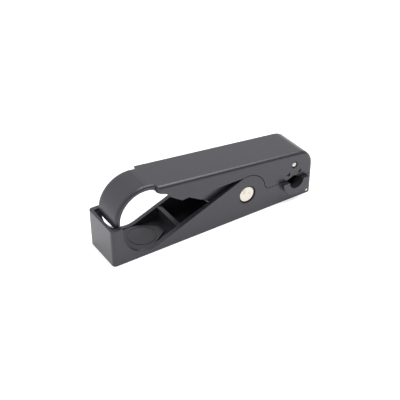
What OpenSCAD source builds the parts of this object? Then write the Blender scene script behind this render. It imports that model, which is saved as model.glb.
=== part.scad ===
// Rotary coaxial cable stripper: a moulded tray with the blades at one end, and a
// sprung lever over it with a finger loop at the other end.
// X runs from the loop end to the blade end, Y across the tool, Z up from its flat base.
// The cable goes in along Y, from the side with the half-round guide (-Y).

/* [Tray] */
// Overall length, loop end to blade end
body_l = 102; // [98:0.5:112]
// Overall width of the tray and of the lever
body_w = 20.4; // [19:0.2:24]
// Height of the box at the loop end
tray_h = 17.3; // [16.5:0.1:18.5]
// Height of the seam between tray and lever at the blade end
seam_z = 10.45; // [10:0.05:11]
// Thickness of the side walls
wall = 2; // [1.6:0.1:2.3]
// Thickness of the wall at the loop end
end_wall = 1.4; // [1:0.1:1.8]
// Thickness of the tray's floor
floor_t = 1.3; // [1:0.1:1.7]
// Radius on the long upper edges and the upright corners
edge_r = 1.6; // [1:0.1:1.9]
// Radius at the foot of the blade end
foot_r = 1.7; // [0.8:0.1:1.9]

/* [Finger cut-out] */
// Centre of the round cut in the tray's walls, from the loop end
cut_x = 17; // [16:0.1:19]
// Height of that centre
cut_z = 14.1; // [13.8:0.1:15]
// Radius of the round cut
cut_r = 11.9; // [11:0.1:12.3]
// Top of the raised pad under the finger
pad_z = 2; // [1.8:0.1:2.6]
// Radius of the round mark on the pad
pad_mark_r = 6.4; // [4:0.1:7]
// Near face of the cross rib, from the loop end
rib_x = 31.5; // [30.5:0.1:34]
// Thickness of the cross rib
rib_t = 2; // [1.4:0.1:2.6]
// Top of the cross rib
rib_z = 7.2; // [5:0.1:8]

/* [Finger loop] */
// Centre of the loop, from the loop end
loop_x = 17.3; // [16.9:0.1:19]
// Height of the loop's centre
loop_z = 17.4; // [17:0.1:18.4]
// Inner radius of the loop
loop_r = 11.7; // [11:0.1:12]
// Thickness of the loop's band
loop_t = 2.4; // [2:0.1:2.7]
// Radius on the edges of the loop's band
loop_edge_r = 1; // [0.4:0.1:1]
// Side clearance between the loop and the tray's walls
loop_gap = 0.5; // [0.3:0.1:1]
// Height of the loop's free end
loop_end_z = 15.9; // [15.5:0.1:16.6]

/* [Lever] */
// Fall of the lever's top towards the blade end, in degrees
top_fall = 6.2; // [5:0.1:6.6]
// Thickness of the lever's top
roof_t = 2.2; // [1.6:0.1:2.6]
// Radius of the lever's nose, seen from the side
nose_r = 8.3; // [6:0.1:9]
// Where the lever steps out to its full width, from the loop end
step_x = 21.7; // [21:0.1:23]
// Thickness of the inner cheeks that hang on the pivot
cheek_t = 2; // [1.4:0.1:2.4]

/* [Pivot] */
// Pivot axis, from the blade end
pivot_back = 35.8; // [34:0.1:38]
// Height of the pivot axis
pivot_z = 11.1; // [10.6:0.1:11.6]
// Radius of the round boss on each tray wall
boss_r = 9.3; // [8.8:0.1:9.8]
// Radius of the steel pivot pin
pin_r = 3.8; // [3:0.1:4]
// Radius of the ring sunk round each end of the pivot pin
pin_ring_r = 4.28; // [4.1:0.01:4.8]
// How far the ends of the pivot pin lie below the walls
pin_sunk = 0.45; // [0.2:0.05:0.8]
// Radius of the lever's cheeks round the pivot
cheek_r = 6.6; // [5.8:0.1:7]
// Radius where the boss runs out into the seam
seam_r = 3; // [2:0.1:3.6]

/* [Return spring] */
// Spring axis, from the pivot towards the loop
spring_x = 11.7; // [11.3:0.1:13]
// Mean radius of the coil
spring_r = 3.1; // [2.6:0.1:3.5]
// Thickness of the wire
wire_d = 0.9; // [0.6:0.1:1.1]
// Number of turns
spring_turns = 8; // [6:1:10]

/* [Cable guide] */
// Cable axis, from the blade end
cable_back = 10.35; // [10:0.05:11]
// Inner radius of the half-round guide
guide_r = 3.84; // [3:0.02:4]
// Outer radius of the half-round guide
lug_r = 7.1; // [6:0.1:7.6]
// How far the guide stands out from the wall
lug_out = 2.2; // [1.5:0.1:4]
// Rise of the vee over the cable
vee_h = 1.6; // [1.5:0.1:2.2]

/* [Vee block] */
// Length of the block along the tool
vee_block_l = 12.3; // [11.4:0.1:13]
// Height of the block
vee_block_h = 10; // [9.2:0.1:10.2]
// Radius of its steel pin
vee_pin_r = 1.1; // [0.8:0.05:1.3]
// Height of that pin above the seam
vee_pin_up = 7.05; // [6.6:0.05:7.4]
// Radius of the two locating pins
dowel_r = 0.75; // [0.5:0.05:0.85]
// Distance of each locating pin from the cable axis
dowel_off = 3.05; // [2.8:0.05:3.4]
// Height of the locating pins above the seam
dowel_up = 3.05; // [2.8:0.05:3.4]
// How far the pins' ends lie below the lever's sides
dowel_sunk = 0.5; // [0.2:0.05:0.9]

/* [Blades] */
// Spacing of the blades along the cable
blade_pitch = 4; // [3.6:0.1:4.4]
// Width of a blade across the cable
blade_w = 9; // [7:0.1:10]
// Thickness of a blade
blade_t = 0.5; // [0.3:0.05:0.7]
// Depth from the seam to the edge that cuts the jacket
jacket_cut = 3.05; // [2.6:0.05:3.4]
// Depth from the seam to the edge that cuts the braid
braid_cut = 2.65; // [2.2:0.05:3]
// Depth from the seam to the edge that cuts to the conductor
core_cut = 0.95; // [0.75:0.05:1.4]
// Travel of each blade up and down from its middle
blade_travel = 0.5; // [0.2:0.05:0.6]
// Radius of the adjusting screws
screw_r = 1.45; // [1.2:0.05:1.5]
// Length of the adjusting screws
screw_l = 3.5; // [3:0.1:3.8]
// Height of the screws' lower ends above the base
screw_z = 0.9; // [0.8:0.05:1.2]
// Cross pin of the cassette, from the blade end
cross_back = 2.3; // [2:0.05:2.6]
// Height of the cross pin
cross_z = 1.35; // [1.2:0.05:1.6]
// Radius of the cross pin
cross_r = 0.7; // [0.5:0.05:0.8]

/* [Fits] */
// Gap along the seam between tray and lever
seam_gap = 0.2; // [0.1:0.02:0.3]
// Gap between the boss and the lever round it
boss_gap = 0.3; // [0.2:0.02:0.4]
// Side clearance of the lever's cheeks between the tray's walls
cheek_gap = 0.3; // [0.2:0.02:0.5]
// Radial clearance of the parts that turn
run_gap = 0.05; // [0.02:0.01:0.08]
// Clearance of pieces that slip into place
slip_gap = 0.15; // [0.1:0.01:0.2]
// Clearance of pins that are pressed in
press_gap = 0.02; // [0.01:0.01:0.03]

/* [Hidden] */
$fn = 64;

plastic = [0.13, 0.13, 0.14];
plastic_soft = [0.16, 0.16, 0.17];
steel = [0.80, 0.79, 0.76];
blade_steel = [0.62, 0.64, 0.66];
spring_steel = [0.55, 0.55, 0.57];

far = 100;
eps = 0.01;
x0 = -body_l / 2;
x1 = body_l / 2;
half_w = body_w / 2;
inner_w = half_w - wall;
pivot_x = x1 - pivot_back;
cable_x = x1 - cable_back;
tray_top = seam_z - seam_gap / 2;
lever_low = seam_z + seam_gap / 2;
recess_r = boss_r + boss_gap;

// Straight ramp from the finger cut to the boss. It crosses both circles by a hair,
// because a line that only touches a circle leaves a loose corner.
hair = 0.02;
cut = [x0 + cut_x, cut_z];
pivot = [pivot_x, pivot_z];
ramp_a = atan2(pivot[1] - cut[1], pivot[0] - cut[0])
       + asin((cut_r + boss_r - 2 * hair) / norm(pivot - cut));
ramp_n = [-sin(ramp_a), cos(ramp_a)];
ramp_low = cut - (cut_r - hair) * ramp_n;
ramp_top = pivot + (boss_r - hair) * ramp_n;

// Loop, and the lever's sloping top, which touches the loop's outside
loop = [x0 + loop_x, loop_z];
loop_out = loop_r + loop_t;
loop_half_w = inner_w - loop_gap;
top_n = [sin(top_fall), cos(top_fall)];
nose_x = x1 - nose_r;
function top_z(x) = loop[1] + (loop_out - (x - loop[0]) * top_n[0]) / top_n[1];
nose_z = top_z(nose_x) - nose_r / top_n[1];
neck_a = 46;

// Outline of the lever's skirts, from the step to the pivot
skirt_z = pivot_z + boss_r;
tooth = [pivot_x - 23.7, skirt_z - 2.9];
skirt = [
    [x0 + step_x, loop_z + 10.7],
    [loop[0] + 8.5, loop_z + 9.1],
    [loop[0] + 10.5, loop_z + 6.9],
    [loop[0] + 15.7, loop_z + 3.4],
    [tooth[0] - 6.1, loop_z + 3.6],
    tooth,
    [tooth[0] + 1.9, skirt_z - 1.2],
    [tooth[0] + 5.8, skirt_z - 0.3],
    [tooth[0] + 7.8, skirt_z],
];

// Inner cheeks of the lever
cheek_out = inner_w - cheek_gap;
cheek_front = pivot_x - 21.7;
cheek_low = skirt_z - 6.4;
hollow_x = loop[0] + loop_out * cos(neck_a);

// Return spring
spring_low = floor_t;
spring_top = top_z(pivot_x - spring_x) - roof_t - 1.2;
seat_r = spring_r + wire_d / 2 + 0.4;
post_r = spring_r - wire_d / 2 - 0.3;

// Blade cassette and its pocket
cross_x = x1 - cross_back;
pocket_w = 15.3;
pocket_x = cross_x - pocket_w;
cross_wall = 1.4;
cassette_low = 0.3;
cassette_top = tray_top - 0.35;
blade_low = screw_z + screw_l;
slot_floor = blade_low - blade_travel - 0.1;
hole_top = blade_low + blade_travel + 0.3;
blade_y = [-blade_pitch, 0, blade_pitch];
vee_inset = 0.15;
vee_block_low = lever_low + 0.1;

module side(w) {
    rotate([90, 0, 0])
        linear_extrude(w, center = true)
            children();
}

// Rod or disc across the tool, between two places on Y
module across(p, r, y_from, y_to, fn = 64) {
    translate([p[0], y_to, p[1]])
        rotate([90, 0, 0])
            cylinder(r = r, h = y_to - y_from, $fn = fn);
}

// Upright block with round corners, seen from above
module plan(x_from, x_to, w, r, z_from, z_to) {
    translate([0, 0, z_from])
        linear_extrude(z_to - z_from)
            round_slab(x_from, x_to, w, r);
}

module round_slab(x_from, x_to, w, r) {
    translate([x_from + r, -w])
        square([x_to - x_from - 2 * r, 2 * w]);
    translate([x_from, r - w])
        square([x_to - x_from, 2 * (w - r)]);
    for (x = [x_from + r, x_to - r])
        for (y = [r - w, w - r])
            translate([x, y])
                circle(r);
}

// Where the boss runs out into a straight seam, on a radius
function runout(r, z, rf) =
    [pivot_x + sqrt(pow(r + rf, 2) - pow(z + rf - pivot_z, 2)), z + rf];

module runout_fill(r, z, rf) {
    c = runout(r, z, rf);
    difference() {
        polygon([pivot, [pivot_x, z], [c[0], z], c]);
        translate(c)
            circle(rf);
    }
}

// Outline of the tray's side walls
module wall_outline() {
    difference() {
        union() {
            polygon([
                [x0, 0], [x1, 0], [x1, tray_top], [pivot_x, tray_top],
                pivot, ramp_top, ramp_low, cut, [x0, cut_z]
            ]);
            translate([x0, 0])
                square([cut_x - cut_r, tray_h]);
            translate(pivot)
                circle(boss_r);
            runout_fill(boss_r, tray_top, seam_r);
        }
        translate(cut)
            circle(cut_r);
        translate([x0 + cut_x - cut_r, cut_z])
            square([cut_r, far]);
        foot_corner();
    }
}

module foot_corner() {
    difference() {
        translate([x1 - foot_r, -eps])
            square([foot_r + eps, foot_r + eps]);
        translate([x1 - foot_r, foot_r])
            circle(foot_r);
    }
}

// Raised pad under the finger: it narrows to a tongue towards the rib
module finger_pad() {
    back = x0 + end_wall;
    shoulder = x0 + 19.7;
    tip = x0 + 28.8;
    tongue = inner_w - 5.9;
    difference() {
        translate([0, 0, floor_t - eps])
            linear_extrude(pad_z - floor_t + eps)
                polygon([
                    [back - eps, -inner_w - eps], [shoulder, -inner_w - eps], [tip, -tongue],
                    [tip, tongue], [shoulder, inner_w + eps], [back - eps, inner_w + eps]
                ]);
        translate([x0 + 19, 0, pad_z - 0.15])
            difference() {
                cylinder(r = pad_mark_r, h = 1);
                translate([0, 0, -1])
                    cylinder(r = pad_mark_r - 0.4, h = 3);
            }
    }
}

module lower_body() {
    color(plastic)
    difference() {
        union() {
            difference() {
                intersection() {
                    side(body_w) wall_outline();
                    plan(x0, x1, half_w, edge_r, -1, far);
                }
                tray_hollow();
            }
            finger_pad();
            // Cross rib between the walls
            translate([x0 + rib_x, -inner_w - eps, floor_t - eps])
                cube([rib_t, 2 * (inner_w + eps), rib_z - floor_t]);
            // Post that keeps the spring in place
            translate([pivot_x - spring_x, 0, floor_t - eps])
                cylinder(r = post_r, h = 5);
            // Half-round guide for the cable
            intersection() {
                across([cable_x, seam_z], lug_r, -half_w - lug_out, -half_w + wall / 2, 96);
                translate([cable_x - far / 2, -far / 2, tray_top - far])
                    cube([far, far, far]);
            }
        }
        across([cable_x, seam_z], guide_r, -far, far, 96);
        across(pivot, pin_r + press_gap, -far, far);
        for (s = [-1, 1]) {
            ring = [s * (half_w - 2 * pin_sunk), s * far];
            across(pivot, pin_ring_r, min(ring), max(ring));
        }
        across([cross_x, cross_z], cross_r + press_gap, -far, far, 32);
    }
}

// Inside of the tray: the long well, and the pocket that takes the cassette
module tray_hollow() {
    r = 0.8;
    plan(x0 + end_wall, pocket_x - cross_wall, inner_w, r, floor_t, far);
    plan(pocket_x, cross_x, inner_w, r, -1, far);
}

// Outside of the lever: the sloping top, the round nose and the upright end,
// all with the same radius on their long edges
module edge_section(hw, r, depth) {
    translate([-hw, -depth])
        square([2 * hw, depth - r]);
    translate([r - hw, -r - eps])
        square([2 * (hw - r), r + eps]);
    for (s = [-1, 1])
        translate([s * (hw - r), -r])
            circle(r);
}

// Slab under the sloping top, from the nose back past the loop
module sloping_slab(hw, r) {
    translate([nose_x, 0, nose_z])
        rotate([0, top_fall, 0])
            translate([0, 0, nose_r])
                rotate([90, 0, -90])
                    linear_extrude(far)
                        edge_section(hw, r, far / 2);
}

module lever_envelope() {
    sloping_slab(half_w, edge_r);
    // Round nose
    translate([nose_x, 0, nose_z])
        rotate([90, 0, 0])
            rotate_extrude($fn = 128)
                nose_section();
    // Upright end below the nose
    translate([x1, 0, nose_z])
        rotate([0, 90, 0])
            rotate([90, 0, -90])
                mirror([0, 0, 1])
                    linear_extrude(far / 2)
                        edge_section(half_w, edge_r, far / 2);
}

module nose_section() {
    translate([0, -half_w])
        square([nose_r - edge_r, body_w]);
    translate([nose_r - edge_r - eps, edge_r - half_w])
        square([edge_r + eps, body_w - 2 * edge_r]);
    for (s = [-1, 1])
        translate([nose_r - edge_r, s * (half_w - edge_r)])
            circle(edge_r);
}

// Outline of the lever's skirts below its top
module skirt_outline() {
    difference() {
        polygon(concat(
            [[x0 + step_x, far]],
            skirt,
            [[pivot_x, skirt_z], [pivot_x, lever_low], [x1 + 1, lever_low], [x1 + 1, far]]
        ));
        translate(pivot)
            circle(recess_r);
        runout_fill(recess_r, lever_low, seam_r - seam_gap);
        polygon([
            [cable_x - guide_r - 0.1, lever_low - 1], [cable_x - guide_r - 0.1, lever_low],
            [cable_x, lever_low + vee_h],
            [cable_x + guide_r + 0.1, lever_low], [cable_x + guide_r + 0.1, lever_low - 1]
        ]);
    }
}

// Inside of the lever, under its top and behind its nose
module lever_hollow() {
    side(2 * inner_w)
        union() {
            polygon([
                [hollow_x, 0], [x1 - wall, 0], [x1 - wall, nose_z],
                [nose_x, nose_z],
                [nose_x, top_z(nose_x) - roof_t], [hollow_x, top_z(hollow_x) - roof_t]
            ]);
            translate([nose_x, nose_z])
                circle(nose_r - max(wall, roof_t));
        }
}

// Finger loop: a round band that ends free inside the tray
module finger_loop() {
    intersection() {
        translate([loop[0], 0, loop[1]])
            rotate([90, 0, 0])
                rotate_extrude($fn = 128)
                    band_section();
        side(body_w)
            polygon([
                loop,
                loop + 2 * loop_out * [cos(neck_a), sin(neck_a)],
                loop + [0, 2 * loop_out],
                loop + [-2 * loop_out, 2 * loop_out],
                [loop[0] - 2 * loop_out, loop_end_z],
                [loop[0] - loop_r / 2, loop_end_z]
            ]);
    }
}

module band_section() {
    r = loop_edge_r;
    translate([loop_r + r, -loop_half_w])
        square([loop_t - 2 * r, 2 * loop_half_w]);
    translate([loop_r, r - loop_half_w])
        square([loop_t, 2 * (loop_half_w - r)]);
    for (x = [loop_r + r, loop_out - r])
        for (s = [-1, 1])
            translate([x, s * (loop_half_w - r)])
                circle(r);
}

// Cheeks that hang inside the tray and turn on the pin
module cheek_outline() {
    translate(pivot)
        circle(cheek_r);
    polygon([
        [cheek_front, top_z(cheek_front) - roof_t / 2],
        [cheek_front, cheek_low + 1.4],
        [cheek_front + 2, cheek_low],
        pivot - (cheek_r - 10 * hair) * [cos(60), sin(60)],
        pivot,
        [pivot_x + cheek_r, pivot_z],
        [pivot_x + cheek_r, top_z(pivot_x + cheek_r) - roof_t / 2]
    ]);
}

module lever() {
    color(plastic)
    difference() {
        union() {
            difference() {
                intersection() {
                    side(body_w) skirt_outline();
                    lever_envelope();
                    plan(x0 + step_x, x1 + far, half_w, edge_r, -1, far);
                }
                lever_hollow();
            }
            intersection() {
                neck();
                sloping_slab(loop_half_w, loop_edge_r);
            }
            finger_loop();
            for (s = [-1, 1])
                translate([0, s * (cheek_out - cheek_t / 2), 0])
                    side(cheek_t) cheek_outline();
            // Seat and post for the top of the spring
            intersection() {
                union() {
                    translate([pivot_x - spring_x, 0, spring_top])
                        cylinder(r = seat_r, h = far / 2);
                    translate([pivot_x - spring_x, 0, spring_top - 3.5])
                        cylinder(r = post_r, h = 5);
                }
                side(2 * inner_w)
                    polygon([
                        [hollow_x, 0], [nose_x, 0],
                        [nose_x, top_z(nose_x) - roof_t / 2],
                        [hollow_x, top_z(hollow_x) - roof_t / 2]
                    ]);
            }
            vee_ribs();
        }
        across(pivot, pin_r + run_gap, -far, far);
        vee_pin_holes();
    }
}

// Solid neck where the band of the loop grows out of the lever
module neck() {
    difference() {
        side(2 * loop_half_w)
            polygon([
                loop + [0, loop_out - loop_t / 2],
                loop + [0, loop_out + 2],
                [hollow_x + 1, top_z(hollow_x) + 2],
                [hollow_x + 1, top_z(hollow_x) - roof_t],
                loop + (loop_out - loop_edge_r) * [cos(neck_a), sin(neck_a)]
            ]);
        across(loop, loop_out - loop_t / 2, -far, far, 128);
    }
}

// Two ribs that hold the vee block between them
module vee_ribs() {
    gap = vee_block_l / 2 + slip_gap;
    rib = 1.4;
    intersection() {
        for (x = [cable_x - gap - rib, cable_x + gap])
            translate([x, -inner_w - eps, lever_low + 1.5])
                cube([rib, 2 * (inner_w + eps), far]);
        side(body_w)
            union() {
                polygon([
                    [hollow_x, 0], [nose_x, 0],
                    [nose_x, top_z(nose_x) - roof_t / 2],
                    [hollow_x, top_z(hollow_x) - roof_t / 2]
                ]);
                translate([nose_x, nose_z])
                    circle(nose_r - wall / 2);
                translate([nose_x, 0])
                    square([nose_r - wall / 2, nose_z]);
            }
    }
}

vee_pin_at = [cable_x, seam_z + vee_pin_up];
dowel_left = [cable_x - dowel_off, seam_z + dowel_up];
dowel_right = [cable_x + dowel_off, seam_z + dowel_up];

module vee_pin_holes() {
    across(vee_pin_at, vee_pin_r + press_gap, -far, far, 32);
    for (p = [dowel_left, dowel_right])
        across(p, dowel_r + press_gap, -far, far, 32);
    for (s = [-1, 1]) {
        mouth = [s * (half_w - 1.2 * dowel_sunk), s * far];
        across(vee_pin_at, 1.5 * vee_pin_r, min(mouth), max(mouth), 32);
        for (p = [dowel_left, dowel_right])
            across(p, 1.2 * dowel_r, min(mouth), max(mouth), 32);
    }
}

// Plain pin with a small chamfer at each end
module pin(p, r, half_l, c) {
    translate([p[0], 0, p[1]])
        rotate([90, 0, 0])
            rotate_extrude()
                polygon([
                    [0, -half_l], [r - c, -half_l], [r, c - half_l],
                    [r, half_l - c], [r - c, half_l], [0, half_l]
                ]);
}

module pivot_pin() {
    color(steel)
        pin(pivot, pin_r, half_w - pin_sunk, 0.3);
}

// Compression coil with closed ends
function coil_point(t, h) = [
    spring_r * cos(360 * spring_turns * t),
    spring_r * sin(360 * spring_turns * t),
    wire_d / 2 + (h - wire_d) * (t - sin(360 * t) / 8)
];

module return_spring() {
    sides = 8;
    rings = 14 * spring_turns;
    h = spring_top - spring_low;
    r = wire_d / 2;
    points = [
        for (i = [0 : rings])
            let (t = i / rings, c = coil_point(t, h), a = 360 * spring_turns * t)
                for (j = [0 : sides - 1])
                    let (b = 360 * j / sides)
                        c + r * [cos(b) * cos(a), cos(b) * sin(a), sin(b)]
    ];
    skin = [
        for (i = [0 : rings - 1])
            for (j = [0 : sides - 1])
                let (k = (j + 1) % sides, a = i * sides, b = a + sides)
                    each [[a + j, b + j, b + k], [a + j, b + k, a + k]]
    ];
    first = [for (j = [0 : sides - 1]) j];
    last = [for (j = [sides - 1 : -1 : 0]) rings * sides + j];
    color(spring_steel)
        translate([pivot_x - spring_x, 0, spring_low])
            polyhedron(points = points, faces = concat([first], skin, [last]));
}

module v_block() {
    half_l = vee_block_l / 2;
    arm = guide_r + 0.1;
    apex = vee_h - vee_inset;
    color(plastic_soft)
    difference() {
        side(2 * (inner_w - slip_gap))
            difference() {
                translate([cable_x - half_l, vee_block_low])
                    square([vee_block_l, vee_block_h]);
                polygon([
                    [cable_x - arm, lever_low - 1], [cable_x - arm, lever_low - vee_inset],
                    [cable_x, lever_low + apex],
                    [cable_x + arm, lever_low - vee_inset], [cable_x + arm, lever_low - 1]
                ]);
                nose_relief();
            }
        across(vee_pin_at, vee_pin_r + press_gap, -far, far, 32);
        for (p = [dowel_left, dowel_right])
            across(p, dowel_r + press_gap, -far, far, 32);
    }
}

// Upper corner of the vee block, cut back to clear the round inside of the nose
module nose_relief() {
    difference() {
        translate([nose_x, nose_z])
            square([far, far]);
        translate([nose_x, nose_z])
            circle(nose_r - max(wall, roof_t) - slip_gap);
        translate([nose_x, 0])
            square([far, nose_z]);
    }
}

module v_block_pin() {
    color(steel)
        pin(vee_pin_at, vee_pin_r, half_w - dowel_sunk / 2, 0.15);
}

module locating_pin_left() {
    color(spring_steel)
        pin(dowel_left, dowel_r, half_w - dowel_sunk, 0.1);
}

module locating_pin_right() {
    color(spring_steel)
        pin(dowel_right, dowel_r, half_w - dowel_sunk, 0.1);
}

module cassette_pin() {
    color(steel)
        pin([cross_x, cross_z], cross_r, half_w - 0.1, 0.1);
}

// Block that guides the blades and carries their screws
module blade_cassette() {
    low_x = pocket_x + slip_gap;
    high_x = cross_x - slip_gap;
    color(plastic_soft)
    difference() {
        translate([low_x, slip_gap - inner_w, cassette_low])
            cube([high_x - low_x, 2 * (inner_w - slip_gap), cassette_top - cassette_low]);
        across([cable_x, seam_z], guide_r, -far, far, 96);
        across([cross_x, cross_z], cross_r + press_gap, -far, far, 32);
        for (y = blade_y) {
            translate([cable_x - blade_w / 2 - slip_gap, y - blade_t / 2 - run_gap, slot_floor])
                cube([blade_w + 2 * slip_gap, blade_t + 2 * run_gap, far]);
            translate([cable_x, y, -1])
                cylinder(r = screw_r + run_gap, h = hole_top + 1);
        }
    }
}

// Flat blade, ground to an edge from both sides
module blade(y, cut_depth) {
    h = seam_z - cut_depth - blade_low;
    grind = 3 * blade_t;
    color(blade_steel)
        translate([cable_x - blade_w / 2, y, blade_low])
            rotate([90, 0, 90])
                linear_extrude(blade_w)
                    polygon([
                        [-blade_t / 2, 0], [blade_t / 2, 0], [blade_t / 2, h - grind],
                        [0, h], [-blade_t / 2, h - grind]
                    ]);
}

module jacket_blade() {
    blade(blade_y[0], jacket_cut);
}

module braid_blade() {
    blade(blade_y[1], braid_cut);
}

module core_blade() {
    blade(blade_y[2], core_cut);
}

// Headless screw with a hexagon socket in its lower end
module blade_screw(y) {
    c = 0.25;
    socket_r = 0.87;
    color(steel)
        translate([cable_x, y, screw_z])
            difference() {
                rotate_extrude()
                    polygon([
                        [0, 0], [screw_r - c, 0], [screw_r, c],
                        [screw_r, screw_l - c], [screw_r - c, screw_l], [0, screw_l]
                    ]);
                translate([0, 0, -1])
                    cylinder(r = socket_r, h = 2.5, $fn = 6);
            }
}

module jacket_screw() {
    blade_screw(blade_y[0]);
}

module braid_screw() {
    blade_screw(blade_y[1]);
}

module core_screw() {
    blade_screw(blade_y[2]);
}

lower_body();
lever();
pivot_pin();
return_spring();
v_block();
v_block_pin();
locating_pin_left();
locating_pin_right();
blade_cassette();
cassette_pin();
jacket_blade();
braid_blade();
core_blade();
jacket_screw();
braid_screw();
core_screw();
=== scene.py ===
import math

import bpy
from mathutils import Matrix, Vector


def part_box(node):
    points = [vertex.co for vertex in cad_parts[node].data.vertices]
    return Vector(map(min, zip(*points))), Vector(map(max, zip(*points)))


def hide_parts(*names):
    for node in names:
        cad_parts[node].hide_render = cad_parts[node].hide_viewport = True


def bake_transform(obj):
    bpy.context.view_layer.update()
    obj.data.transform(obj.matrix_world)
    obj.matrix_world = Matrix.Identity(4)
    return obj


bl_info = {
    "name": "Coaxial cable stripper",
    "version": (1, 0, 0),
    "blender": (4, 5, 0),
    "location": "View3D > Sidebar > Stripper",
    "description": "Finishes the stripper's mouldings, pins, blades and spring, and sets up a white studio",
    "category": "Object",
}

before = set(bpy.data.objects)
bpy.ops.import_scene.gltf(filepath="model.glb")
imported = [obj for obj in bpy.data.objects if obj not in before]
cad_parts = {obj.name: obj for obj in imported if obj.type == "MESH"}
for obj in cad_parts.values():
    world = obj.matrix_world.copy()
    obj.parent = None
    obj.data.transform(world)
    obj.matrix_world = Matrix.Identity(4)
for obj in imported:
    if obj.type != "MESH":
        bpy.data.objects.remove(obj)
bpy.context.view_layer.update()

MM = 0.001  # one millimetre in the scene's metres
PICTURE_SIDE = 400  # the picture is square, this many pixels on a side
SENSOR_W = 36.0  # the camera's sensor width, in millimetres


def linear(srgb_hex):
    """The linear colour of an sRGB hex value such as "3d3b40"."""
    channels = [int(srgb_hex[i : i + 2], 16) / 255 for i in (0, 2, 4)]
    return tuple(
        c / 12.92 if c <= 0.04045 else ((c + 0.055) / 1.055) ** 2.4 for c in channels
    )


# ---- Sizes and colours that a user would change ----


class MouldingSettings(bpy.types.PropertyGroup):
    """The black mouldings: tray, lever, vee block and blade cassette."""

    case_colour: bpy.props.FloatVectorProperty(
        name="Case colour",
        description="Colour of the tray and the lever",
        subtype="COLOR",
        size=3,
        min=0.0,
        max=1.0,
        default=linear("2b2a30"),
    )
    inner_colour: bpy.props.FloatVectorProperty(
        name="Inner colour",
        description="Colour of the vee block and the blade cassette",
        subtype="COLOR",
        size=3,
        min=0.0,
        max=1.0,
        default=linear("161617"),
    )
    edge_radius: bpy.props.FloatProperty(
        name="Edge radius",
        description="Radius that the mould leaves on edges the model draws sharp",
        unit="LENGTH",
        subtype="DISTANCE",
        precision=5,
        default=0.2 * MM,
    )
    grain: bpy.props.FloatProperty(
        name="Grain",
        description="Width of one grain of the spark-eroded mould texture",
        unit="LENGTH",
        subtype="DISTANCE",
        precision=5,
        default=0.25 * MM,
    )


class SteelSettings(bpy.types.PropertyGroup):
    """The steel parts: pins, blades, screws and spring."""

    pin_colour: bpy.props.FloatVectorProperty(
        name="Pin colour",
        description="Colour of the bright pins",
        subtype="COLOR",
        size=3,
        min=0.0,
        max=1.0,
        default=linear("cfc9be"),
    )
    dark_colour: bpy.props.FloatVectorProperty(
        name="Dark pin colour",
        description="Colour of the two blackened locating pins and of the screws",
        subtype="COLOR",
        size=3,
        min=0.0,
        max=1.0,
        default=linear("5a585a"),
    )
    blade_colour: bpy.props.FloatVectorProperty(
        name="Blade colour",
        description="Colour of the ground blades",
        subtype="COLOR",
        size=3,
        min=0.0,
        max=1.0,
        default=linear("d2d3d6"),
    )
    turning_pitch: bpy.props.FloatProperty(
        name="Turning pitch",
        description="Distance between the tool rings on a pin's end",
        unit="LENGTH",
        subtype="DISTANCE",
        precision=5,
        default=0.35 * MM,
    )


class SpringSettings(bpy.types.PropertyGroup):
    """The return spring between the tray's floor and the lever."""

    turns: bpy.props.FloatProperty(
        name="Turns", description="Number of turns, ends included", default=8.0
    )
    wire: bpy.props.FloatProperty(
        name="Wire",
        description="Diameter of the spring wire",
        unit="LENGTH",
        subtype="DISTANCE",
        precision=5,
        default=0.9 * MM,
    )
    colour: bpy.props.FloatVectorProperty(
        name="Spring colour",
        description="Colour of the spring wire",
        subtype="COLOR",
        size=3,
        min=0.0,
        max=1.0,
        default=linear("b4b4b6"),
    )


class StudioSettings(bpy.types.PropertyGroup):
    """The camera, the floor and the lights."""

    azimuth: bpy.props.FloatProperty(
        name="Azimuth",
        description="Direction the camera stands in, from the front",
        unit="ROTATION",
        subtype="ANGLE",
        default=math.radians(-33.19),
    )
    elevation: bpy.props.FloatProperty(
        name="Elevation",
        description="Angle of the camera above the horizon",
        unit="ROTATION",
        subtype="ANGLE",
        default=math.radians(34.733),
    )
    distance: bpy.props.FloatProperty(
        name="Distance",
        description="From the camera to the point it looks at",
        unit="LENGTH",
        subtype="DISTANCE",
        default=379.19 * MM,
    )
    target: bpy.props.FloatVectorProperty(
        name="Target",
        description="The point that the camera looks at",
        unit="LENGTH",
        subtype="TRANSLATION",
        size=3,
        precision=5,
        default=(-2.833 * MM, -0.275 * MM, 9.438 * MM),
    )
    focal_pixels: bpy.props.FloatProperty(
        name="Focal length in pixels",
        description="The lens, measured in pixels of the square picture",
        default=877.32,
    )
    backdrop: bpy.props.FloatVectorProperty(
        name="Backdrop colour",
        description="Colour of the floor and of the air round it",
        subtype="COLOR",
        size=3,
        min=0.0,
        max=1.0,
        default=linear("fafafa"),
    )
    table_glow: bpy.props.FloatProperty(
        name="Table glow",
        description="Brightness that the floor's own light adds",
        default=0.67,
    )
    bright_side: bpy.props.FloatProperty(
        name="Bright side",
        description="Brightness of the lit white wall behind the tool",
        default=0.9,
    )
    dim_side: bpy.props.FloatProperty(
        name="Dim side",
        description="Brightness of the unlit room in front of the tool",
        default=0.35,
    )
    softbox_power: bpy.props.FloatProperty(
        name="Softbox power",
        description="Power of the overhead softbox",
        unit="POWER",
        default=6.5,
    )


# ---- Materials ----


def add_node(tree, kind, inputs=None, **settings):
    """Adds a node with its settings. An input takes a value, or another node's output to link from."""
    node = tree.nodes.new(kind)
    for name, value in settings.items():
        setattr(node, name, value)
    for name, value in (inputs or {}).items():
        socket = node.inputs[name]
        if isinstance(value, bpy.types.NodeSocket):
            tree.links.new(value, socket)
        else:
            socket.default_value = value
    return node


LOOP_EDGES_FROM = -29.0 * MM
LOOP_EDGES_TO = -26.0 * MM
GATE_PLACE = (-51.0 * MM, 1.0 * MM, 13.4 * MM)
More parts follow.
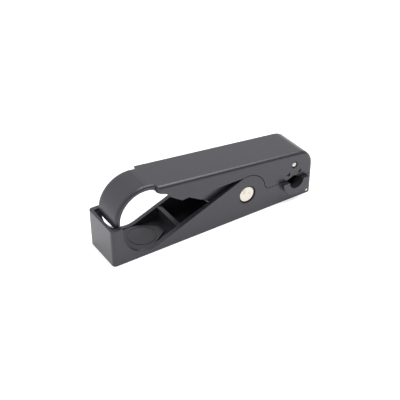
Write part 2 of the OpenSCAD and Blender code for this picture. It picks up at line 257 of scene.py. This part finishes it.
# The loop's outside is shaded as one round that runs on into the sloping top.
LOOP_CENTRE = (-32.6 * MM, 0.0, 15.6 * MM)
LOOP_ENDS = -30.9 * MM
TOP_STARTS = -30.4 * MM


def shade_loop_round(tree, place, normal):
    """Turns the shading of the loop's outside evenly, up to where the sloping top starts."""

    def vector(operation, inputs, output="Vector"):
        node = add_node(tree, "ShaderNodeVectorMath", inputs, operation=operation)
        return node.outputs[output]

    def between_spaces(value, start, end):
        return add_node(
            tree,
            "ShaderNodeVectorTransform",
            {"Vector": value},
            vector_type="NORMAL",
            convert_from=start,
            convert_to=end,
        ).outputs["Vector"]

    # The lever turns, so this is worked out in its own space.
    own = between_spaces(normal, "WORLD", "OBJECT")
    flat = vector("MULTIPLY", {0: own, 1: (1.0, 0.0, 1.0)})
    sideways = vector("MULTIPLY", {0: own, 1: (0.0, 1.0, 0.0)})
    outward = vector("SUBTRACT", {0: place, 1: LOOP_CENTRE})
    in_plane = vector("MULTIPLY", {0: outward, 1: (1.0, 0.0, 1.0)})
    even = vector("NORMALIZE", {0: in_plane})
    evened = vector(
        "MULTIPLY_ADD",
        {0: even, 1: vector("LENGTH", {0: flat}, "Value"), 2: sideways},
    )
    facing = vector("NORMALIZE", {0: flat})
    on_outside = add_node(
        tree,
        "ShaderNodeMapRange",
        {
            "Value": vector("DOT_PRODUCT", {0: facing, 1: even}, "Value"),
            "From Min": 0.2,
            "From Max": 0.5,
        },
    )
    along = add_node(tree, "ShaderNodeSeparateXYZ", {"Vector": place}).outputs["X"]
    on_loop = add_node(
        tree,
        "ShaderNodeMapRange",
        {
            "Value": along,
            "From Min": LOOP_ENDS,
            "From Max": TOP_STARTS,
            "To Min": 1.0,
            "To Max": 0.0,
        },
    )
    share = add_node(
        tree,
        "ShaderNodeMath",
        {0: on_outside.outputs["Result"], 1: on_loop.outputs["Result"]},
        operation="MULTIPLY",
    )
    mixed = add_node(
        tree,
        "ShaderNodeMix",
        {"Factor": share.outputs["Value"], "A": own, "B": evened},
        data_type="VECTOR",
    ).outputs["Result"]
    return between_spaces(mixed, "OBJECT", "WORLD")


def gate_mark(tree, place, height):
    """Sinks a small round gate mark in the loop end of the tray."""
    away = add_node(
        tree, "ShaderNodeVectorMath", {0: place, 1: GATE_PLACE}, operation="DISTANCE"
    )
    raised = add_node(
        tree,
        "ShaderNodeMapRange",
        {
            "Value": away.outputs["Value"],
            "From Min": 0.15 * MM,
            "From Max": 0.75 * MM,
            "To Min": -900.0,
            "To Max": 0.0,
        },
        interpolation_type="SMOOTHSTEP",
    )
    return add_node(
        tree,
        "ShaderNodeMath",
        {0: height, 1: raised.outputs["Result"]},
        operation="ADD",
    ).outputs["Value"]


def new_material(name):
    """An empty material with its output, and the tree to build in."""
    material = bpy.data.materials.new(name)
    material.use_nodes = True
    material.node_tree.nodes.clear()
    return material, material.node_tree


def per_metre(size):
    """The noise scale at which one cell is this size, in metres."""
    return 1.0 / size


def moulded_plastic(name, colour, edge_radius, grain, rough, ior, loop_radius=None):
    """Injection-moulded plastic from a spark-eroded mould.

    The mould's fine grain makes it satin: it takes a broad soft light from white
    surroundings and gives no clear reflection. Rounded edges carry a thin light line.
    """
    material, tree = new_material(name)
    place = add_node(tree, "ShaderNodeTexCoord").outputs["Object"]
    drift = add_node(
        tree,
        "ShaderNodeTexNoise",
        {"Vector": place, "Scale": per_metre(14 * MM), "Detail": 2.0},
    )
    tint = add_node(
        tree,
        "ShaderNodeMix",
        {
            "Factor": drift.outputs["Fac"],
            "A": (*(0.9 * c for c in colour), 1.0),
            "B": (*(1.1 * c for c in colour), 1.0),
        },
        data_type="RGBA",
    )
    # The real grain is about 0.03 mm, too fine to show, so it is drawn coarser.
    texture = add_node(
        tree,
        "ShaderNodeTexNoise",
        {"Vector": place, "Scale": per_metre(grain), "Detail": 3.0},
    )
    gloss = add_node(
        tree,
        "ShaderNodeMapRange",
        {
            "Value": texture.outputs["Fac"],
            "To Min": rough - 0.04,
            "To Max": rough + 0.04,
        },
    )
    soft_edge = add_node(
        tree, "ShaderNodeBevel", {"Radius": edge_radius}, samples=12
    )
    normal = soft_edge.outputs["Normal"]
    if loop_radius:
        # The loop's edges are rounded more than the rest, back to the step.
        along = add_node(tree, "ShaderNodeSeparateXYZ", {"Vector": place}).outputs["X"]
        radius = add_node(
            tree,
            "ShaderNodeMapRange",
            {
                "Value": along,
                "From Min": LOOP_EDGES_FROM,
                "From Max": LOOP_EDGES_TO,
                "To Min": loop_radius,
                "To Max": edge_radius,
            },
        )
        tree.links.new(radius.outputs["Result"], soft_edge.inputs["Radius"])
        normal = shade_loop_round(tree, place, normal)
    relief = add_node(
        tree,
        "ShaderNodeBump",
        {
            "Strength": 0.25,
            "Distance": 0.006 * MM,
            "Height": gate_mark(tree, place, texture.outputs["Fac"]),
            "Normal": normal,
        },
    )
    shader = add_node(
        tree,
        "ShaderNodeBsdfPrincipled",
        {
            "Base Color": tint.outputs["Result"],
            "Roughness": gloss.outputs["Result"],
            "IOR": ior,
            # The mould's satin skin reflects a shade of violet.
            "Specular Tint": (0.955, 0.935, 1.0, 1.0),
            "Normal": relief.outputs["Normal"],
        },
    )
    add_node(tree, "ShaderNodeOutputMaterial", {"Surface": shader.outputs["BSDF"]})
    return material


def steel(name, colour, rough, grain_size, stretch, relief_depth, edge_radius):
    """Steel with a finish drawn as fine lines: stretch is the line's length by its width, per axis.

    A metal's default IOR stays. The lines spread a highlight across them, so the
    face looks bright with faint streaks.
    """
    material, tree = new_material(name)
    place = add_node(tree, "ShaderNodeTexCoord").outputs["Object"]
    drawn = add_node(
        tree, "ShaderNodeMapping", {"Vector": place, "Scale": stretch}
    )
    lines = add_node(
        tree,
        "ShaderNodeTexNoise",
        {
            "Vector": drawn.outputs["Vector"],
            "Scale": per_metre(grain_size),
            "Detail": 2.0,
        },
    )
    # Handling leaves faint duller patches, which break up an even white end face.
    patches = add_node(
        tree,
        "ShaderNodeTexNoise",
        {"Vector": place, "Scale": per_metre(2.2 * MM), "Detail": 3.0},
    )
    worn = add_node(
        tree,
        "ShaderNodeMapRange",
        {"Value": patches.outputs["Fac"], "From Min": 0.48, "From Max": 0.62},
    )
    shade = add_node(
        tree,
        "ShaderNodeMix",
        {
            "Factor": worn.outputs["Result"],
            "A": (*colour, 1.0),
            "B": (*(0.8 * c for c in colour), 1.0),
        },
        data_type="RGBA",
    )
    gloss = add_node(
        tree,
        "ShaderNodeMapRange",
        {
            "Value": lines.outputs["Fac"],
            "To Min": rough * 0.7,
            "To Max": rough * 1.3,
        },
    )
    soft_edge = add_node(
        tree, "ShaderNodeBevel", {"Radius": edge_radius}, samples=6
    )
    relief = add_node(
        tree,
        "ShaderNodeBump",
        {
            "Strength": 0.4,
            "Distance": relief_depth,
            "Height": lines.outputs["Fac"],
            "Normal": soft_edge.outputs["Normal"],
        },
    )
    shader = add_node(
        tree,
        "ShaderNodeBsdfPrincipled",
        {
            "Base Color": shade.outputs["Result"],
            "Metallic": 1.0,
            "Roughness": gloss.outputs["Result"],
            "Normal": relief.outputs["Normal"],
        },
    )
    add_node(tree, "ShaderNodeOutputMaterial", {"Surface": shader.outputs["BSDF"]})
    return material


def finish(nodes, material):
    """Gives CAD nodes a material."""
    for name in nodes:
        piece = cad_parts[name]
        piece.data.materials.clear()
        piece.data.materials.append(material)


# ---- Operators: one for each group of pieces, and one for the stage ----


class STRIPPER_OT_mouldings(bpy.types.Operator):
    """Finishes the tray, the lever, the vee block and the blade cassette"""

    bl_idname = "stripper.mouldings"
    bl_label = "Finish the mouldings"

    def execute(self, context):
        look = context.scene.stripper_mouldings
        # Glass-filled nylon, moulded: satin charcoal that lightens where it faces the white room.
        case = moulded_plastic(
            "Nylon, moulded",
            look.case_colour,
            look.edge_radius,
            look.grain,
            rough=0.3,
            ior=1.53,
        )
        finish(["lower_body"], case)
        lever_case = moulded_plastic(
            "Nylon, moulded, round edges",
            look.case_colour,
            look.edge_radius,
            look.grain,
            rough=0.3,
            ior=1.53,
            loop_radius=1.8 * MM,
        )
        finish(["lever"], lever_case)
        # Acetal, moulded: darker and a little waxy.
        inner = moulded_plastic(
            "Acetal, moulded",
            look.inner_colour,
            look.edge_radius,
            look.grain,
            rough=0.3,
            ior=1.48,
        )
        finish(["v_block", "blade_cassette"], inner)
        return {"FINISHED"}


class STRIPPER_OT_pins(bpy.types.Operator):
    """Finishes the bright pins and the two dark locating pins"""

    bl_idname = "stripper.pins"
    bl_label = "Finish the pins"

    def execute(self, context):
        look = context.scene.stripper_steel
        # Ground dowel steel, faced on a lathe: near mirror, with faint rings from the tool.
        bright = steel(
            "Dowel steel, ground",
            look.pin_colour,
            rough=0.22,
            grain_size=look.turning_pitch,
            stretch=(1.0, 0.1, 1.0),
            relief_depth=0.003 * MM,
            edge_radius=0.15 * MM,
        )
        finish(["pivot_pin", "v_block_pin", "cassette_pin"], bright)
        # Steel blackened in an oxide bath: dark, with a dull metal shine.
        dark = steel(
            "Steel, black oxide",
            look.dark_colour,
            rough=0.38,
            grain_size=0.3 * MM,
            stretch=(1.0, 1.0, 1.0),
            relief_depth=0.002 * MM,
            edge_radius=0.1 * MM,
        )
        finish(
            [
                "locating_pin_left",
                "locating_pin_right",
                "jacket_screw",
                "braid_screw",
                "core_screw",
            ],
            dark,
        )
        return {"FINISHED"}


class STRIPPER_OT_blades(bpy.types.Operator):
    """Finishes the jacket, braid and core blades"""

    bl_idname = "stripper.blades"
    bl_label = "Finish the blades"

    def execute(self, context):
        look = context.scene.stripper_steel
        # Tool steel, surface ground: fine level lines that streak the light along the blade.
        ground = steel(
            "Tool steel, ground",
            look.blade_colour,
            rough=0.2,
            grain_size=0.2 * MM,
            stretch=(0.05, 1.0, 1.0),
            relief_depth=0.003 * MM,
            edge_radius=0.02 * MM,
        )
        finish(["jacket_blade", "braid_blade", "core_blade"], ground)
        return {"FINISHED"}


class STRIPPER_OT_spring(bpy.types.Operator):
    """Winds the return spring between the tray's floor and the lever"""

    bl_idname = "stripper.spring"
    bl_label = "Wind the return spring"

    AROUND = 14  # sides of the wire
    PER_TURN = 32  # steps along one turn
    FLAT_TURNS = 1.0  # turns at each end that lie closed

    def execute(self, context):
        look = context.scene.stripper_spring
        low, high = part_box("return_spring")
        radius = (high.x - low.x - look.wire) / 2
        axis_x = (low.x + high.x) / 2
        rise = high.z - low.z - look.wire

        steps = round(look.turns * self.PER_TURN)
        open_turns = look.turns - 2 * self.FLAT_TURNS
        closed_rise = look.wire * self.FLAT_TURNS
        open_rise = rise - 2 * closed_rise

        def height(turn):
            if turn < self.FLAT_TURNS:
                return look.wire * turn
            if turn > look.turns - self.FLAT_TURNS:
                return rise - look.wire * (look.turns - turn)
            return closed_rise + open_rise * (turn - self.FLAT_TURNS) / open_turns

        vertices = []
        for step in range(steps + 1):
            turn = step / self.PER_TURN
            angle = math.tau * turn
            outward = Vector((math.cos(angle), math.sin(angle), 0.0))
            centre = outward * radius + Vector(
                (axis_x, 0.0, low.z + look.wire / 2 + height(turn))
            )
            for side in range(self.AROUND):
                around = math.tau * side / self.AROUND
                offset = outward * math.cos(around) + Vector((0, 0, math.sin(around)))
                vertices.append(centre + offset * look.wire / 2)

        faces = [tuple(reversed(range(self.AROUND)))]
        for step in range(steps):
            here = step * self.AROUND
            there = here + self.AROUND
            for side in range(self.AROUND):
                following = (side + 1) % self.AROUND
                faces.append(
                    (here + side, here + following, there + following, there + side)
                )
        last = steps * self.AROUND
        faces.append(tuple(range(last, last + self.AROUND)))

        mesh = bpy.data.meshes.new("return_spring_wire")
        mesh.from_pydata(vertices, [], faces)
        mesh.shade_smooth()
        wire = bpy.data.objects.new("return_spring_wire", mesh)
        context.collection.objects.link(wire)
        # Spring wire, drawn: greyer than the pins, with lines along the wire too fine to see.
        mesh.materials.append(
            steel(
                "Spring wire, drawn",
                look.colour,
                rough=0.3,
                grain_size=0.4 * MM,
                stretch=(1.0, 1.0, 1.0),
                relief_depth=0.002 * MM,
                edge_radius=0.02 * MM,
            )
        )
        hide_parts("return_spring")
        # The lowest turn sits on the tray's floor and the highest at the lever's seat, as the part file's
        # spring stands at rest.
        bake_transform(wire)
        return {"FINISHED"}


class STRIPPER_OT_stage(bpy.types.Operator):
    """Lays the white floor, lights it softly and stands the camera at the picture's angle"""

    bl_idname = "stripper.stage"
    bl_label = "Set up the studio"

    FLOOR_SIDE = 8.0
    SOFTBOX_SIDE = 0.7
    SOFTBOX_PLACE = Vector((0.25, 0.0, 0.75))
    UNLIT_DIRECTION = Vector((0.5, -0.8, 0.3))
    UNLIT_EDGE = (0.35, 0.85)
    # Far from the unlit side, the wall gets brighter: this lights the loop's outside.
    WINDOW_EDGE = (-0.9, -0.2)
    WINDOW_GAIN = 1.5

    def execute(self, context):
        look = context.scene.stripper_studio
        scene = context.scene
        self.lay_floor(look, context)
        self.light(look, context)
        self.place_camera(look, context)
        scene.view_settings.view_transform = "Standard"
        return {"FINISHED"}

    def lay_floor(self, look, context):
        half = self.FLOOR_SIDE / 2
        mesh = bpy.data.meshes.new("floor")
        mesh.from_pydata(
            [(-half, -half, 0), (half, -half, 0), (half, half, 0), (-half, half, 0)],
            [],
            [(0, 1, 2, 3)],
        )
        # Opal acrylic, lit from below: plain white, with only a faint shadow under the tool.
        material, tree = new_material("Opal acrylic, matt")
        shader = add_node(
            tree,
            "ShaderNodeBsdfPrincipled",
            {
                "Base Color": (*(0.65 * c for c in look.backdrop), 1.0),
                "Roughness": 0.9,
                "Specular IOR Level": 0.0,
                "Emission Color": (*look.backdrop, 1.0),
                "Emission Strength": look.table_glow,
            },
        )
        add_node(tree, "ShaderNodeOutputMaterial", {"Surface": shader.outputs["BSDF"]})
        mesh.materials.append(material)
        floor = bpy.data.objects.new("floor", mesh)
        context.collection.objects.link(floor)

    def light(self, look, context):
        # The wall behind the tool is lit and the room in front of it isn't, which
        # draws a light line and a dark line along each rounded edge.
        world = bpy.data.worlds.new("White room")
        world.use_nodes = True
        tree = world.node_tree
        tree.nodes.clear()
        place = add_node(tree, "ShaderNodeTexCoord").outputs["Generated"]
        towards = add_node(
            tree,
            "ShaderNodeVectorMath",
            {0: place, 1: self.UNLIT_DIRECTION.normalized()},
            operation="DOT_PRODUCT",
        )
        lit = add_node(
            tree,
            "ShaderNodeMapRange",
            {
                "Value": towards.outputs["Value"],
                "From Min": self.WINDOW_EDGE[0],
                "From Max": self.WINDOW_EDGE[1],
                "To Min": look.bright_side * self.WINDOW_GAIN,
                "To Max": look.bright_side,
            },
        )
        strength = add_node(
            tree,
            "ShaderNodeMapRange",
            {
                "Value": towards.outputs["Value"],
                "From Min": self.UNLIT_EDGE[0],
                "From Max": self.UNLIT_EDGE[1],
                "To Min": lit.outputs["Result"],
                "To Max": look.dim_side,
            },
            interpolation_type="SMOOTHSTEP",
        )
        room = add_node(
            tree,
            "ShaderNodeBackground",
            {"Color": (*look.backdrop, 1.0), "Strength": strength.outputs["Result"]},
        )
        backdrop = add_node(
            tree, "ShaderNodeBackground", {"Color": (1.0, 1.0, 1.0, 1.0), "Strength": 1.0}
        )
        seen = add_node(tree, "ShaderNodeLightPath").outputs["Is Camera Ray"]
        both = add_node(
            tree,
            "ShaderNodeMixShader",
            {
                "Fac": seen,
                1: room.outputs["Background"],
                2: backdrop.outputs["Background"],
            },
        )
        add_node(tree, "ShaderNodeOutputWorld", {"Surface": both.outputs["Shader"]})
        context.scene.world = world

        lamp = bpy.data.lights.new("softbox", "AREA")
        lamp.shape = "SQUARE"
        lamp.size = self.SOFTBOX_SIDE
        lamp.energy = look.softbox_power
        softbox = bpy.data.objects.new("softbox", lamp)
        softbox.location = self.SOFTBOX_PLACE
        softbox.rotation_euler = (
            (Vector() - self.SOFTBOX_PLACE).to_track_quat("-Z", "Y").to_euler()
        )
        context.collection.objects.link(softbox)

    def place_camera(self, look, context):
        # Azimuth 0 looks along +Y, and the camera stands back from the target.
        back = Vector(
            (
                math.sin(look.azimuth) * math.cos(look.elevation),
                -math.cos(look.azimuth) * math.cos(look.elevation),
                math.sin(look.elevation),
            )
        )
        lens = bpy.data.cameras.new("camera")
        lens.sensor_fit = "HORIZONTAL"
        lens.sensor_width = SENSOR_W
        lens.lens = look.focal_pixels / PICTURE_SIDE * SENSOR_W
        lens.clip_start = 0.01
        lens.clip_end = 50.0
        camera = bpy.data.objects.new("camera", lens)
        right = Vector((0, 0, 1)).cross(back).normalized()
        above = back.cross(right)
        turn = Matrix((right, above, back)).transposed().to_4x4()
        camera.matrix_world = (
            Matrix.Translation(Vector(look.target) + back * look.distance) @ turn
        )
        context.collection.objects.link(camera)
        context.scene.camera = camera


class STRIPPER_PT_panel(bpy.types.Panel):
    """Lists the steps that dress the cable stripper"""

    bl_idname = "STRIPPER_PT_panel"
    bl_label = "Cable stripper"
    bl_space_type = "VIEW_3D"
    bl_region_type = "UI"
    bl_category = "Stripper"

    def draw(self, context):
        for operator in OPERATORS:
            self.layout.operator(operator.bl_idname)


SETTINGS = {
    "stripper_mouldings": MouldingSettings,
    "stripper_steel": SteelSettings,
    "stripper_spring": SpringSettings,
    "stripper_studio": StudioSettings,
}
OPERATORS = (
    STRIPPER_OT_mouldings,
    STRIPPER_OT_pins,
    STRIPPER_OT_blades,
    STRIPPER_OT_spring,
    STRIPPER_OT_stage,
)
CLASSES = (*SETTINGS.values(), *OPERATORS, STRIPPER_PT_panel)


def register():
    for cls in CLASSES:
        bpy.utils.register_class(cls)
    for name, group in SETTINGS.items():
        setattr(bpy.types.Scene, name, bpy.props.PointerProperty(type=group))


def unregister():
    for name in SETTINGS:
        delattr(bpy.types.Scene, name)
    for cls in reversed(CLASSES):
        bpy.utils.unregister_class(cls)


def main():
    register()
    bpy.ops.stripper.mouldings()
    bpy.ops.stripper.pins()
    bpy.ops.stripper.blades()
    bpy.ops.stripper.spring()
    bpy.ops.stripper.stage()
    bpy.context.view_layer.update()


if __name__ == "__main__":
    main()
